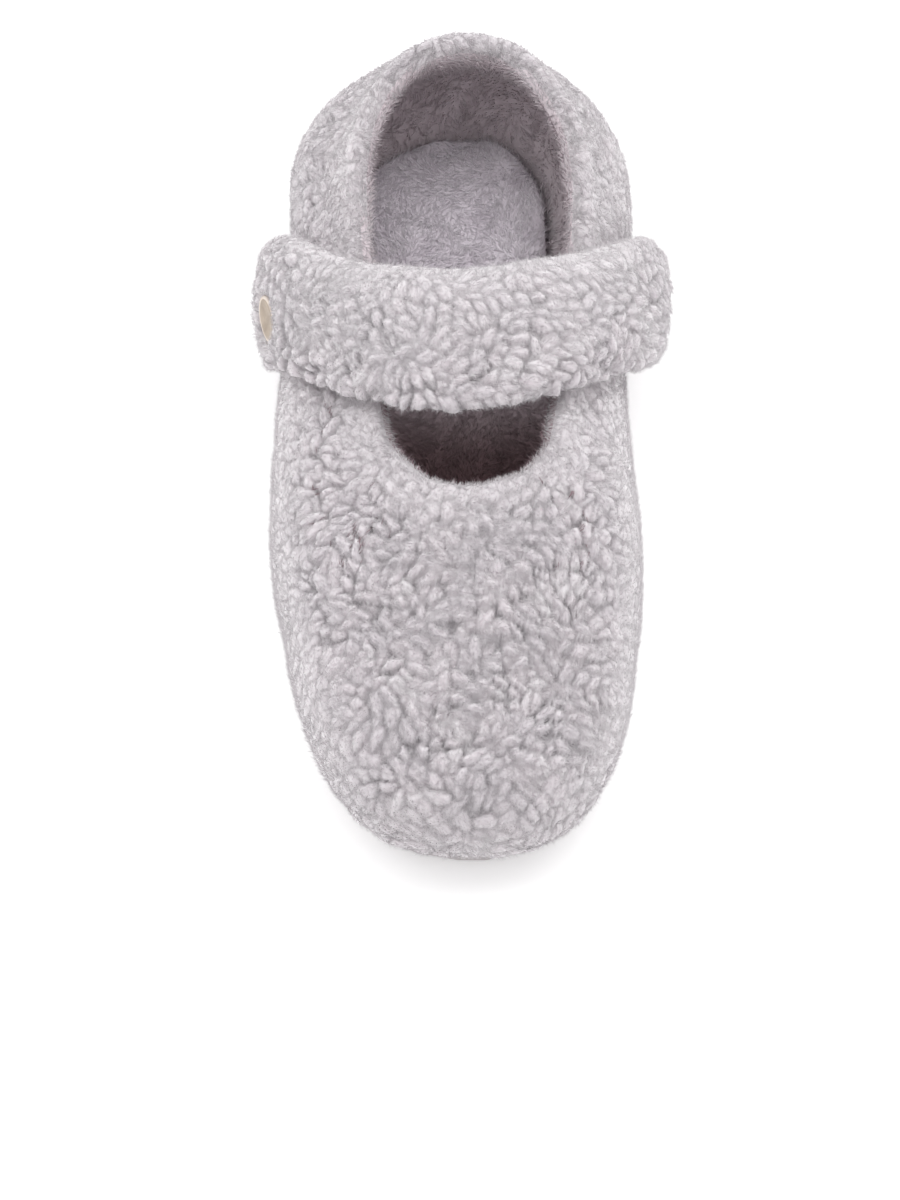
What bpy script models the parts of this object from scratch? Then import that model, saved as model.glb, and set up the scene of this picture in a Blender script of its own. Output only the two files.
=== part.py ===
"""Mary jane slipper for the right foot: curly fleece upper and strap on a plain moulded sole.

Working frame, in millimetres: station runs back from the toe tip, across is positive towards the inner
(big toe) side, height is up from the floor. The finished part has its toe towards -Y, its inner side
towards +X, and its origin under the middle of its bounding box.
"""

from math import cos, pi, radians

import bmesh
import bpy
import numpy as np
from mathutils import Matrix, Vector

MM = 0.001

# Driving dimensions
LENGTH = 258.0
BALL_WIDTH = 107.0
INSTEP_HEIGHT = 62.0
HEEL_HEIGHT = 67.0
WALL = 8.5
GAP = 0.35

# Sole: bottom curve, thickness and tread
FORE_THICKNESS = 8.0
HEEL_THICKNESS = 14.0
WEDGE_START = 105.0
WEDGE_END = 185.0
TOE_SPRING = 5.0
SPRING_START = 64.0
HEEL_BEVEL = 3.0
BEVEL_START = 234.0
ARCH_RISE = 2.0
ARCH_START = 120.0
ARCH_END = 172.0
SOLE_LIP = 0.8
SOLE_EDGE_ROUND = 1.8
SOLE_STEP = 6.0
GROOVE_PITCH = 11.0
GROOVE_WIDTH = 3.4
GROOVE_DEPTH = 1.6
GROOVE_FLANK = 0.7
FORE_GROOVES = (30.0, 114.0)
HEEL_GROOVES = (178.0, 240.0)

# Insole
INSOLE_THICKNESS = 6.0
INSOLE_CLEARANCE = 0.9
INSOLE_EDGE_ROUND = 2.2
INSOLE_CUP = 1.2

# Strap across the instep: a pillowed band with round ends, fuller at the back of its outer end
STRAP_WIDTH = 44.0
STRAP_FLARE = 0.16
STRAP_OUTER_THICKNESS = 8.4
STRAP_INNER_THICKNESS = 12.8
STRAP_PILLOW = 1.05
STRAP_EDGE_SPREAD = 0.66
STRAP_FULL_BACK = 0.35
STRAP_FULL_BACK_LENGTH = 0.35
STRAP_END_DROP = 6.0
STRAP_END_STATION = 177.5
STRAP_LEAN = 42.5
STRAP_LEAN_POWER = 1.3
STRAP_END_LENGTH = 0.16
STRAP_END_FLOOR = 0.35
STRAP_FIT = 0.45
RIDGE_ACROSS = 4.5
RIDGE_HEIGHTS = ((97.0, 63.0), (112.0, 66.5), (135.0, 70.5), (157.0, 73.5), (195.0, 77.0))

# Button sunk in the pile near the strap's outer end
BUTTON_RADIUS = 7.0
BUTTON_THICKNESS = 3.6
BUTTON_PLACE = 0.095
BUTTON_FORWARD = 5.0
BUTTON_POCKET_DEPTH = 6.0
BUTTON_SEGMENTS = 20

# Pile: locks stand in staggered rows, with hollows between them
LOCK_HOLLOW = 2.0
LOCK_SEED = 11

# Grid sizes
COLUMNS = 112
UNDER_RINGS = 4
SIDE_RINGS = 15
ROLL_RINGS = 4
UNDER_SWEEP = radians(62.0)
STRAP_SECTIONS = 46
STRAP_FACE_POINTS = 11
STRAP_BACK_POINTS = 5
DENSE = 1600

# One row for each profile round the upper, from the toe tip along the inner side to the heel and back.
# station, edge_station: % of LENGTH, at the widest point and at the opening's edge.
# across, edge_across: % of BALL_WIDTH at those places. bulge: height of the widest point, % of INSTEP_HEIGHT.
# tuck: how far the bottom edge turns in under the widest point, mm.
# rise: share of the way from INSTEP_HEIGHT to HEEL_HEIGHT at the edge. slope: the wall's lean there, degrees.
COLUMN_NAMES = ("station", "across", "bulge", "tuck", "edge_station", "edge_across", "rise", "slope")
PROFILES = (
    (0.0, 0.3, 38, 9.5, 36.8, 3.7, 0.0, 13),
    (2.4, 28.0, 38, 9.5, 37.2, 11.0, 0.0, 14),
    (9.4, 41.2, 39, 9.0, 38.3, 18.6, 0.0, 16),
    (20.2, 47.9, 41, 8.5, 39.9, 24.0, 0.0, 19),
    (34.9, 50.5, 44, 8.5, 42.2, 28.2, 0.0, 24),
    (46.5, 48.6, 47, 11.5, 46.5, 30.6, 0.0, 31),
    (58.1, 47.0, 49, 15.0, 58.1, 34.4, -0.4, 42),
    (75.6, 49.4, 52, 19.0, 75.6, 38.0, -0.7, 55),
    (88.8, 45.6, 54, 17.0, 86.4, 33.6, -0.1, 62),
    (97.2, 28.0, 55, 12.0, 93.7, 20.6, 0.65, 68),
    (100.0, 2.8, 56, 10.5, 95.6, 3.7, 1.0, 70),
    (97.2, -23.2, 55, 11.0, 93.7, -13.2, 0.65, 68),
    (88.8, -42.6, 54, 11.0, 86.4, -25.8, -0.1, 60),
    (75.6, -45.4, 52, 11.0, 75.6, -29.2, -0.7, 52),
    (58.1, -47.3, 49, 12.0, 58.1, -26.2, -0.4, 40),
    (46.5, -48.9, 46, 10.0, 46.5, -22.8, 0.0, 31),
    (36.0, -49.0, 44, 8.5, 42.2, -20.2, 0.0, 24),
    (22.6, -44.2, 41, 8.5, 39.9, -15.6, 0.0, 19),
    (10.3, -34.8, 39, 9.0, 38.0, -9.0, 0.0, 16),
    (2.6, -20.6, 38, 9.5, 37.0, -2.8, 0.0, 14),
)


# Curves

def periodic_spline(knots, values, at):
    """A smooth closed curve through values, read at the distances in at. The last knot closes the loop."""
    step = np.diff(knots)
    count = len(step)
    matrix = np.zeros((count, count))
    right = np.zeros((count, values.shape[1]))
    for i in range(count):
        before, after = step[i - 1], step[i]
        nearby = values[(i + 1) % count] - values[i]
        earlier = values[i] - values[i - 1]
        matrix[i, i - 1] += before
        matrix[i, i] += 2 * (before + after)
        matrix[i, (i + 1) % count] += after
        right[i] = 6 * (nearby / after - earlier / before)
    bend = np.linalg.solve(matrix, right)
    cell = np.clip(np.searchsorted(knots, at, side="right") - 1, 0, count - 1)
    following = (cell + 1) % count
    width = step[cell][:, None]
    far = ((at - knots[cell])[:, None]) / width
    near = 1 - far
    curve = (near**3 - near) * bend[cell] + (far**3 - far) * bend[following]
    return near * values[cell] + far * values[following] + curve * width**2 / 6


def sampled_profiles(count):
    """The profile table at equal steps round the widest outline, as arrays by column name, in millimetres."""
    rows = np.array(PROFILES, float)
    share = np.array([LENGTH, BALL_WIDTH, INSTEP_HEIGHT, 100, LENGTH, BALL_WIDTH, 100, 100]) / 100
    rows = rows * share
    plan = rows[:, :2]
    chords = np.linalg.norm(np.roll(plan, -1, axis=0) - plan, axis=1)
    knots = np.concatenate([[0], np.cumsum(chords)])
    fine = periodic_spline(knots, rows, np.linspace(0, knots[-1], DENSE, endpoint=False))
    steps = np.linalg.norm(np.roll(fine[:, :2], -1, axis=0) - fine[:, :2], axis=1)
    travelled = np.concatenate([[0], np.cumsum(steps)])
    looped = np.vstack([fine, fine[:1]])
    at = np.linspace(0, travelled[-1], count, endpoint=False)
    return {name: np.interp(at, travelled, looped[:, i]) for i, name in enumerate(COLUMN_NAMES)}


def smooth(value, low, high):
    """0 up to low, 1 from high on, with an S-curve between them."""
    share = np.clip((value - low) / (high - low), 0, 1)
    return share * share * (3 - 2 * share)


def bezier(points, at):
    """Points of a cubic curve. points holds four arrays of shape (n, k), and the result is (len(at), n, k)."""
    t = np.asarray(at)[:, None, None]
    start, lift, reach, end = points
    return (1 - t) ** 3 * start + 3 * t * (1 - t) ** 2 * lift + 3 * t**2 * (1 - t) * reach + t**3 * end


def unit(vectors):
    return vectors / np.linalg.norm(vectors, axis=-1, keepdims=True)


# Heights of the sole

def toe_lift(station):
    return TOE_SPRING * np.clip((SPRING_START - station) / SPRING_START, 0, None) ** 2


def sole_top(station):
    thickness = FORE_THICKNESS + (HEEL_THICKNESS - FORE_THICKNESS) * smooth(station, WEDGE_START, WEDGE_END)
    return thickness + toe_lift(station)


def sole_bottom(station):
    heel_lift = HEEL_BEVEL * np.clip((station - BEVEL_START) / (LENGTH - BEVEL_START), 0, None) ** 2
    along_arch = np.clip((station - ARCH_START) / (ARCH_END - ARCH_START), 0, 1)
    return toe_lift(station) + heel_lift + ARCH_RISE * np.sin(pi * along_arch) ** 2


# The last: profiles from the bottom edge over the widest point to the opening

def outward(profiles):
    """Unit vectors in plan, pointing out of the widest outline."""
    plan = np.stack([profiles["station"], profiles["across"]], axis=1)
    along = np.roll(plan, -1, axis=0) - np.roll(plan, 1, axis=0)
    return unit(np.stack([-along[:, 1], along[:, 0]], axis=1))


def edge_height(profiles):
    return INSTEP_HEIGHT + (HEEL_HEIGHT - INSTEP_HEIGHT) * profiles["rise"]


def side_curve(profiles, at):
    """The wall from the widest point up to the opening's edge, as (len(at), n, 3)."""
    widest = np.stack([profiles["station"], profiles["across"], profiles["bulge"]], axis=1)
    edge = np.stack([profiles["edge_station"], profiles["edge_across"], edge_height(profiles)], axis=1)
    run = edge[:, :2] - widest[:, :2]
    reach = np.linalg.norm(run, axis=1, keepdims=True)
    climb = edge[:, 2:] - widest[:, 2:]
    slope = np.radians(profiles["slope"])[:, None]
    lift = widest + np.hstack([np.zeros_like(run), 0.6 * climb])
    back = np.minimum(0.6 * reach, 0.5 * climb / np.tan(slope))
    lean = edge - np.hstack([run / reach * back, back * np.tan(slope)])
    return bezier((widest, lift, lean, edge), at)


def under_curve(profiles, count):
    """The turn from the bottom edge out to the widest point, as (count, n, 3), without the widest point."""
    out = outward(profiles)
    widest = np.stack([profiles["station"], profiles["across"]], axis=1)
    foot = widest - out * profiles["tuck"][:, None]
    floor = sole_top(foot[:, 0]) + GAP
    rings = []
    for sweep in np.linspace(UNDER_SWEEP, 0, count, endpoint=False):
        inward = (1 - cos(sweep)) / (1 - cos(UNDER_SWEEP))
        drop = np.sin(sweep) / np.sin(UNDER_SWEEP)
        plan = widest - out * (profiles["tuck"] * inward)[:, None]
        height = profiles["bulge"] - (profiles["bulge"] - floor) * drop
        rings.append(np.column_stack([plan, height]))
    return np.array(rings)


def ring_normals(rings):
    """Outward unit normals of a grid of closed rings."""
    round_the_ring = np.roll(rings, -1, axis=1) - np.roll(rings, 1, axis=1)
    up_the_wall = np.gradient(rings, axis=0)
    return unit(np.cross(up_the_wall, round_the_ring))


def lock_relief(rows, columns, generator):
    """Hollows between staggered locks, in millimetres, as (rows, columns)."""
    stagger = (np.arange(rows)[:, None] + np.arange(columns)[None, :]) % 2
    return LOCK_HOLLOW * stagger * generator.uniform(0.55, 1.0, (rows, columns))


# Mesh helpers

def mesh_object(name, points, faces, material):
    """A closed solid from points in millimetres, in the working frame."""
    mesh = bpy.data.meshes.new(name)
    placed = np.column_stack([points[:, 1], points[:, 0], points[:, 2]]) * MM
    mesh.from_pydata(placed.tolist(), [], faces)
    shell = bmesh.new()
    shell.from_mesh(mesh)
    bmesh.ops.recalc_face_normals(shell, faces=shell.faces)
    shell.to_mesh(mesh)
    shell.free()
    mesh.shade_smooth()
    mesh.materials.append(material)
    solid = bpy.data.objects.new(name, mesh)
    bpy.context.scene.collection.objects.link(solid)
    return solid


def ring_faces(rings, columns, closed_along):
    """Quads between rings of equal size. The ends are capped unless the rings close into a loop."""
    faces = []
    for ring in range(rings if closed_along else rings - 1):
        this, following = ring * columns, (ring + 1) % rings * columns
        for i in range(columns):
            j = (i + 1) % columns
            faces.append((this + i, this + j, following + j, following + i))
    if not closed_along:
        faces.append(tuple(range(columns)))
        faces.append(tuple(range((rings - 1) * columns, rings * columns)))
    return faces


def loft(name, rings, material, closed_along=False):
    rings = np.asarray(rings)
    faces = ring_faces(rings.shape[0], rings.shape[1], closed_along)
    return mesh_object(name, rings.reshape(-1, 3), faces, material)


def finish(name, colour, roughness):
    """A plain material from a base colour and a roughness."""
    material = bpy.data.materials.new(name)
    material.use_nodes = True
    shader = material.node_tree.nodes["Principled BSDF"]
    shader.inputs["Base Color"].default_value = (*colour, 1)
    shader.inputs["Roughness"].default_value = roughness
    shader.inputs["Metallic"].default_value = 0.0
    return material


# Upper

def make_upper(material):
    """One hollow wall, open at the throat and collar and underneath: pile face, rolled edge and lining face."""
    profiles = sampled_profiles(COLUMNS)
    under = under_curve(profiles, UNDER_RINGS)
    side = side_curve(profiles, np.linspace(0, 1, SIDE_RINGS) ** 0.85)
    outer = np.concatenate([under, side])
    normals = ring_normals(outer)

    level = outward(profiles)
    level = np.column_stack([level, np.zeros(COLUMNS)])
    into_wall = normals.copy()
    into_wall[:UNDER_RINGS] = level
    inner = outer - WALL * into_wall
    inner[0, :, 2] = sole_top(inner[0, :, 0]) + GAP

    edge, facing = outer[-1], normals[-1]
    leading = unit(outer[-1] - outer[-2])
    leading = unit(leading - facing * np.sum(leading * facing, axis=1, keepdims=True))
    middle = edge - facing * WALL / 2
    turns = np.linspace(0, pi, ROLL_RINGS + 2)[1:-1]
    roll = [middle + WALL / 2 * (facing * np.cos(a) + leading * np.sin(a)) for a in turns]

    relief = lock_relief(len(outer), COLUMNS, np.random.default_rng(LOCK_SEED))
    relief[[0, -1]] = 0
    pile = outer - normals * relief[:, :, None]
    lining = inner[::-1]
    lining = np.concatenate([lining[:1], lining[2:-1:2], lining[-1:]])
    return loft("upper", np.concatenate([pile, roll, lining]), material, closed_along=True)


# Sole and insole

def bottom_outline(inset):
    """The upper's bottom edge moved in by inset: (stations, across) for the inner and the outer side."""
    profiles = sampled_profiles(DENSE)
    out = outward(profiles)
    plan = np.stack([profiles["station"], profiles["across"]], axis=1)
    plan = plan - out * (profiles["tuck"] + inset)[:, None]
    toe, heel = np.argmin(plan[:, 0]), np.argmax(plan[:, 0])
    plan = np.roll(plan, -toe, axis=0)
    heel = (heel - toe) % DENSE
    inner_side = plan[: heel + 1]
    outer_side = np.vstack([plan[heel:], plan[:1]])[::-1]
    return inner_side, outer_side


def outline_at(outline, stations):
    """Across of the inner and of the outer side at these stations."""
    return [np.interp(stations, side[:, 0], side[:, 1]) for side in outline]


def end_spaced(start, end, step):
    """Stations from start to end, closer together at the two round ends."""
    count = int((end - start) / step)
    turn = np.linspace(0, pi, count)
    eased = 0.5 - 0.5 * np.cos(turn)
    even = turn / pi
    return start + (end - start) * (0.65 * eased + 0.35 * even)


def groove_stations():
    """Stations and depths of the four edges of each tread groove."""
    edges = []
    for first, last in (FORE_GROOVES, HEEL_GROOVES):
        for middle in np.arange(first, last, GROOVE_PITCH):
            half = GROOVE_WIDTH / 2
            edges += [(middle - half, 0.0), (middle - half + GROOVE_FLANK, GROOVE_DEPTH)]
            edges += [(middle + half - GROOVE_FLANK, GROOVE_DEPTH), (middle + half, 0.0)]
    return np.array(edges)


def make_outsole(material):
    """A flat sole with toe spring, a raised arch, a slight wedge and grooves across the tread."""
    outline = bottom_outline(-SOLE_LIP)
    toe, heel = outline[0][0, 0], outline[0][-1, 0]
    margin = 0.25
    grooves = groove_stations()
    plain = end_spaced(toe + margin, heel - margin, SOLE_STEP)
    clear = [np.abs(grooves[:, 0] - station).min() > GROOVE_WIDTH / 2 for station in plain]
    stations = np.concatenate([plain[clear], grooves[:, 0]])
    depths = np.concatenate([np.zeros(sum(clear)), grooves[:, 1]])
    order = np.argsort(stations)
    stations, depths = stations[order], depths[order]
    inner_side, outer_side = outline_at(outline, stations)
    top = sole_top(stations)
    bottom = sole_bottom(stations) + depths
    half = (inner_side - outer_side) / 2
    rounding = np.minimum(SOLE_EDGE_ROUND, 0.4 * half)
    knee = sole_bottom(stations) + GROOVE_DEPTH + SOLE_EDGE_ROUND
    corners = (
        (outer_side, top - 1.0), (outer_side, knee), (outer_side + rounding, bottom),
        (inner_side - rounding, bottom), (inner_side, knee), (inner_side, top - 1.0),
        (inner_side - 0.5 * rounding, top), (outer_side + 0.5 * rounding, top),
    )
    rings = np.stack([np.column_stack([stations, a, h]) for a, h in corners], axis=1)
    return loft("outsole", rings, material)


def make_insole(material):
    """A padded footbed that fills the upper's bottom opening, lightly cupped along its middle."""
    outline = bottom_outline(WALL + INSOLE_CLEARANCE)
    toe, heel = outline[0][0, 0], outline[0][-1, 0]
    margin = 0.6
    stations = end_spaced(toe + margin, heel - margin, SOLE_STEP)
    inner_side, outer_side = outline_at(outline, stations)
    base = sole_top(stations) + GAP
    top = base + INSOLE_THICKNESS
    half = (inner_side - outer_side) / 2
    middle = (inner_side + outer_side) / 2
    rounding = np.minimum(INSOLE_EDGE_ROUND, 0.4 * half)
    corners = (
        (outer_side, base), (inner_side, base), (inner_side, top - INSOLE_EDGE_ROUND),
        (inner_side - rounding, top), (middle + 0.5 * half, top - 0.7 * INSOLE_CUP), (middle, top - INSOLE_CUP),
        (middle - 0.5 * half, top - 0.7 * INSOLE_CUP), (outer_side + rounding, top),
        (outer_side, top - INSOLE_EDGE_ROUND),
    )
    rings = np.stack([np.column_stack([stations, a, h]) for a, h in corners], axis=1)
    return loft("insole", rings, material)


# Strap

def instep_arches(stations, count):
    """The last's own arch at each station, from the outer side over the instep, as (stations, count, 3).

    It follows the upper's wall up to the opening's edge, then bridges the opening along the ridge.
    """
    profiles = sampled_profiles(DENSE)
    heel = np.argmax(profiles["edge_station"])
    toe = np.argmin(np.roll(profiles["edge_station"], -heel)) + heel
    halves = (np.arange(heel, toe), np.arange(toe - DENSE, heel + 1) % DENSE)
    reads = (slice(None, None, -1), slice(None))
    ridge = np.interp(stations, *zip(*RIDGE_HEIGHTS))
    crown = np.column_stack([stations, np.full_like(stations, RIDGE_ACROSS), ridge])
    branches = []
    for half, read in zip(halves, reads):
        order = (half % DENSE)[read]
        edge_at = profiles["edge_station"][order]
        local = {name: np.interp(stations, edge_at, column[order]) for name, column in profiles.items()}
        wall = side_curve(local, np.linspace(0, 1, 24))
        edge = wall[-1]
        run = crown[:, 1:2] - edge[:, 1:2]
        climb = np.tan(np.radians(local["slope"]))[:, None]
        level = np.zeros_like(run)
        reach = np.minimum(0.45 * np.abs(run), 0.8 * (crown[:, 2:] - edge[:, 2:]) / climb)
        lift = edge + np.hstack([level, np.sign(run) * reach, reach * climb])
        flat = crown - np.hstack([level, 0.45 * run, level])
        bridge = bezier((edge, lift, flat, crown), np.linspace(0, 1, 16))
        end = wall[:1] - np.array([0, 0, STRAP_END_DROP])
        branches.append(np.concatenate([end, wall, bridge[1:]]))
    arches = np.concatenate([branches[0], branches[1][-2::-1]]).transpose(1, 0, 2)
    return np.array([evenly_spaced(arch, count) for arch in arches])


def evenly_spaced(points, count):
    steps = np.linalg.norm(np.diff(points, axis=0), axis=1)
    travelled = np.concatenate([[0], np.cumsum(steps)])
    at = np.linspace(0, travelled[-1], count)
    return np.column_stack([np.interp(at, travelled, points[:, k]) for k in range(3)])


def strap_surface():
    """The arches under the strap, with their normals, as functions of (share along the strap, station)."""
    stations = np.arange(104.0, 200.0, 2.0)
    shares = np.linspace(0, 1, STRAP_SECTIONS * 2)
    arches = instep_arches(stations, len(shares))
    along = np.gradient(arches, axis=1)
    back = np.gradient(arches, axis=0)
    normals = unit(np.cross(back, along))

    def read(grid, share, station):
        row = np.interp(station, stations, np.arange(len(stations)))
        column = np.interp(share, shares, np.arange(len(shares)))
        r, c = min(int(row), len(stations) - 2), min(int(column), len(shares) - 2)
        a, b = row - r, column - c
        near = (1 - b) * grid[r, c] + b * grid[r, c + 1]
        far = (1 - b) * grid[r + 1, c] + b * grid[r + 1, c + 1]
        return (1 - a) * near + a * far

    def at(share, station):
        return read(arches, share, station), unit(read(normals, share, station))

    return at


def strap_middle(share):
    """Station of the strap's centre line: its top leans forward of its two ends."""
    return STRAP_END_STATION - STRAP_LEAN * np.sin(pi * share) ** STRAP_LEAN_POWER


def strap_taper(share):
    """Rounds off the strap's two ends."""
    from_end = min(share, 1 - share) / STRAP_END_LENGTH
    rest = max(0.0, 1 - from_end)
    return STRAP_END_FLOOR + (1 - STRAP_END_FLOOR) * (1 - rest**2.4) ** 0.5


def strap_thickness(share):
    full = STRAP_OUTER_THICKNESS + (STRAP_INNER_THICKNESS - STRAP_OUTER_THICKNESS) * share
    return full * strap_taper(share) ** 0.7


def strap_section(at, share, hollows):
    """A closed loop round the strap: flat against the upper, pillowed and knobbly outside."""
    flare = 1 + STRAP_FLARE * abs(2 * share - 1) ** 1.5
    width = STRAP_WIDTH * flare * strap_taper(share) / 2
    thickness = strap_thickness(share)
    loop = []
    for offset in np.linspace(-0.86, 0.86, STRAP_BACK_POINTS):
        point, normal = at(share, strap_middle(share) + width * offset)
        loop.append(point + normal * STRAP_FIT)
    to_outer_end = max(0.0, 1 - share / STRAP_FULL_BACK_LENGTH)
    turns = np.linspace(0, pi, STRAP_FACE_POINTS + 2)[1:-1]
    for turn, hollow in zip(turns, hollows):
        offset = np.sign(np.cos(turn)) * abs(np.cos(turn)) ** STRAP_EDGE_SPREAD
        point, normal = at(share, strap_middle(share) + width * offset)
        raised = 0.12 + 0.88 * np.sin(turn) ** STRAP_PILLOW
        raised *= 1 + STRAP_FULL_BACK * to_outer_end * offset
        loop.append(point + normal * (STRAP_FIT + thickness * raised - hollow * np.sin(turn)))
    return loop


def make_strap(material, at):
    relief = lock_relief(STRAP_SECTIONS, STRAP_FACE_POINTS, np.random.default_rng(LOCK_SEED))
    relief[[0, -1]] = 0
    shares = np.linspace(0, 1, STRAP_SECTIONS)
    rings = [strap_section(at, share, row) for share, row in zip(shares, relief)]
    return loft("strap", rings, material)


# Button

def button_seat(at):
    """Where the button's back rests, and the direction it faces, in metres."""
    point, normal = at(BUTTON_PLACE, strap_middle(BUTTON_PLACE) - BUTTON_FORWARD)
    floor = point + normal * (STRAP_FIT + strap_thickness(BUTTON_PLACE) - BUTTON_POCKET_DEPTH)
    to_world = lambda v: Vector((v[1], v[0], v[2]))
    return to_world(floor) * MM, to_world(normal).normalized()


def turned(name, profile, seat, facing, material):
    """A solid turned about an axis through seat, from (radius, height) pairs in millimetres."""
    mesh = bpy.data.meshes.new(name)
    shape = bmesh.new()
    corners = [shape.verts.new((radius * MM, 0, height * MM)) for radius, height in profile]
    edges = [shape.edges.new(pair) for pair in zip(corners, corners[1:])]
    bmesh.ops.spin(
        shape, geom=corners + edges, cent=(0, 0, 0), axis=(0, 0, 1), angle=2 * pi, steps=BUTTON_SEGMENTS,
    )
    bmesh.ops.remove_doubles(shape, verts=shape.verts, dist=0.01 * MM)
    bmesh.ops.recalc_face_normals(shape, faces=shape.faces)
    shape.to_mesh(mesh)
    shape.free()
    mesh.shade_smooth()
    mesh.transform(Matrix.Translation(seat) @ facing.to_track_quat("Z", "Y").to_matrix().to_4x4())
    if material:
        mesh.materials.append(material)
    solid = bpy.data.objects.new(name, mesh)
    bpy.context.scene.collection.objects.link(solid)
    return solid


def make_button(material, strap, at):
    """A domed button in a round pocket in the strap's pile."""
    seat, facing = button_seat(at)
    pocket_radius = BUTTON_RADIUS + 2 * GAP
    tall = 4 * BUTTON_POCKET_DEPTH
    pocket_profile = ((0, 0), (pocket_radius, 0), (pocket_radius, tall), (0, tall))
    pocket = turned("button_pocket", pocket_profile, seat, facing, None)
    pocket.hide_render = True
    pocket.display_type = "WIRE"
    cut = strap.modifiers.new("button_pocket", "BOOLEAN")
    cut.operation = "DIFFERENCE"
    cut.object = pocket
    rim = 0.55 * BUTTON_THICKNESS
    dome = (
        (0, GAP), (0.8 * BUTTON_RADIUS, GAP), (BUTTON_RADIUS, GAP + 0.3 * rim), (BUTTON_RADIUS, GAP + rim),
        (0.86 * BUTTON_RADIUS, GAP + 0.8 * BUTTON_THICKNESS), (0.5 * BUTTON_RADIUS, GAP + 0.95 * BUTTON_THICKNESS),
        (0, GAP + BUTTON_THICKNESS),
    )
    return [pocket, turned("button", dome, seat, facing, material)]


def stand_on_origin(solids):
    """Moves the whole part so that the origin lies under the middle of its bounding box."""
    shown = [solid for solid in solids if not solid.hide_render]
    corners = np.array([vertex.co for solid in shown for vertex in solid.data.vertices])
    low, high = corners.min(axis=0), corners.max(axis=0)
    middle = Vector((low[0] + high[0], low[1] + high[1], 2 * low[2])) / 2
    for solid in solids:
        solid.data.transform(Matrix.Translation(-middle))


def main():
    for existing in list(bpy.data.objects):
        bpy.data.objects.remove(existing)
    fleece = finish("curly_fleece", (0.68, 0.65, 0.66), 0.95)
    plush = finish("plush_lining", (0.33, 0.30, 0.32), 0.95)
    rubber = finish("moulded_rubber", (0.46, 0.43, 0.44), 0.7)
    suede = finish("tan_suede", (0.44, 0.35, 0.26), 0.85)
    at = strap_surface()
    strap = make_strap(fleece, at)
    solids = [make_upper(fleece), make_outsole(rubber), make_insole(plush), strap]
    solids += make_button(suede, strap, at)
    stand_on_origin(solids)


main()
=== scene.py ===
"""Looks of a right-foot mary jane slipper: curly fleece, plush lining, a suede button and a rubber sole.

Everything is in metres in the part's own frame: toe towards -Y, inner side towards +X, floor at Z = 0.
"""

from collections import namedtuple
from math import cos, radians, sin

import bpy
import numpy as np
from mathutils import Matrix, Vector, noise
from mathutils.bvhtree import BVHTree
from mathutils.kdtree import KDTree


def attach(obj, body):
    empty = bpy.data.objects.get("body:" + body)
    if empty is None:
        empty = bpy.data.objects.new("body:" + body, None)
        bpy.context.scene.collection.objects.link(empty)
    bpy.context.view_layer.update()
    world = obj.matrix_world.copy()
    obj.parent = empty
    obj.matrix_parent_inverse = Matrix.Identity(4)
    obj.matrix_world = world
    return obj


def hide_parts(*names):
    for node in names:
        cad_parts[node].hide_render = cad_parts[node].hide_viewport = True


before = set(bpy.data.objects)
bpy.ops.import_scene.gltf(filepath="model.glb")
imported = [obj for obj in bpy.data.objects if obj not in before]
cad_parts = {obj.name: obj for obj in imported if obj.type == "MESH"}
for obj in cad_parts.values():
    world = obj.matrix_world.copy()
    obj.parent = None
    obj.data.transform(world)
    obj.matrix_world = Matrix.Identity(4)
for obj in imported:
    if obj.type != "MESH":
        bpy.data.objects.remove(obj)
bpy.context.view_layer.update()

MM = 0.001

# Camera, fitted to the outline of toe, throat and strap: a long lens looking steeply down on the toe
PHOTO_HEIGHT = 1200
PIXELS_PER_MM = 3.617
CAMERA_DISTANCE = 1200 * MM
CAMERA_ELEVATION = radians(60)
AIM = Vector((-3.9, -58, 40)) * MM
SENSOR = 36

# Round softboxes, each with its power and place: a key and a fill overhead, and a low one at each side
SOFTBOXES = (
    ("key", 6.0, (0.45, 0.2, 1.3)),
    ("fill", 4.3, (-0.5, 0.1, 1.2)),
    ("left_side", 0.8, (-0.95, -0.2, 0.4)),
    ("right_side", 0.9, (0.95, -0.2, 0.4)),
)
SOFTBOX_WIDTH = 1.0
SOFTBOX_AIM = Vector((0, -0.03, 0))
SKY_STRENGTH = 0.76
FLOOR_SIZE = 6
FLOOR_GLOW = 0.27

# Pile of the fleece: how deep its roots lie, in full pile and at the opening's edge, and that edge's width
PILE_DEPTH = 1.7 * MM
EDGE_DEPTH = 1.4 * MM
EDGE_BAND = (4 * MM, 21 * MM)

# Skin under the pile: rounds of smoothing it and its normals, cuts across a face, and the gap merged over
SOFTEN_ROUNDS = 4
EVEN_ROUNDS = 8
FINE_CUTS = 5
MERGE_GAP = 0.02 * MM

# Locks of the fleece: how far apart they lie, along and aside, and how large they are
LOCK_STEP = (5.6 * MM, 3.0 * MM)
LOCK_LENGTH = (6.8 * MM, 11.5 * MM)
LOCK_WIDTH = (3.8 * MM, 5.6 * MM)
LOCK_HEIGHT = (1.7 * MM, 2.9 * MM)
STRAP_LOCK_SIZE = 0.9
NEAR_LOCKS = 8

# Form of a lock: how blunt it is, how much narrower and higher it gets towards its tip, and its wavy edge
LOCK_BLUNTNESS = 0.65
TIP_NARROWING = 0.2
TIP_RISE = 0.4
WAVE_HEIGHT = 0.7 * MM
WAVE_SIZE = 3.5 * MM

# Between locks: how softly they run together, the partings that open in patches, and the painted shade in
# them
LOCK_BLEND = 0.35 * MM
PARTING_WIDTH = 1.0 * MM
PARTING_DEPTH = 1.2 * MM
PARTING_PATCHES = (-0.05, 0.42)
PARTING_PAINTED_SHADE = 0.6
LOWEST_MOUND = 0.1 * MM

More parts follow.
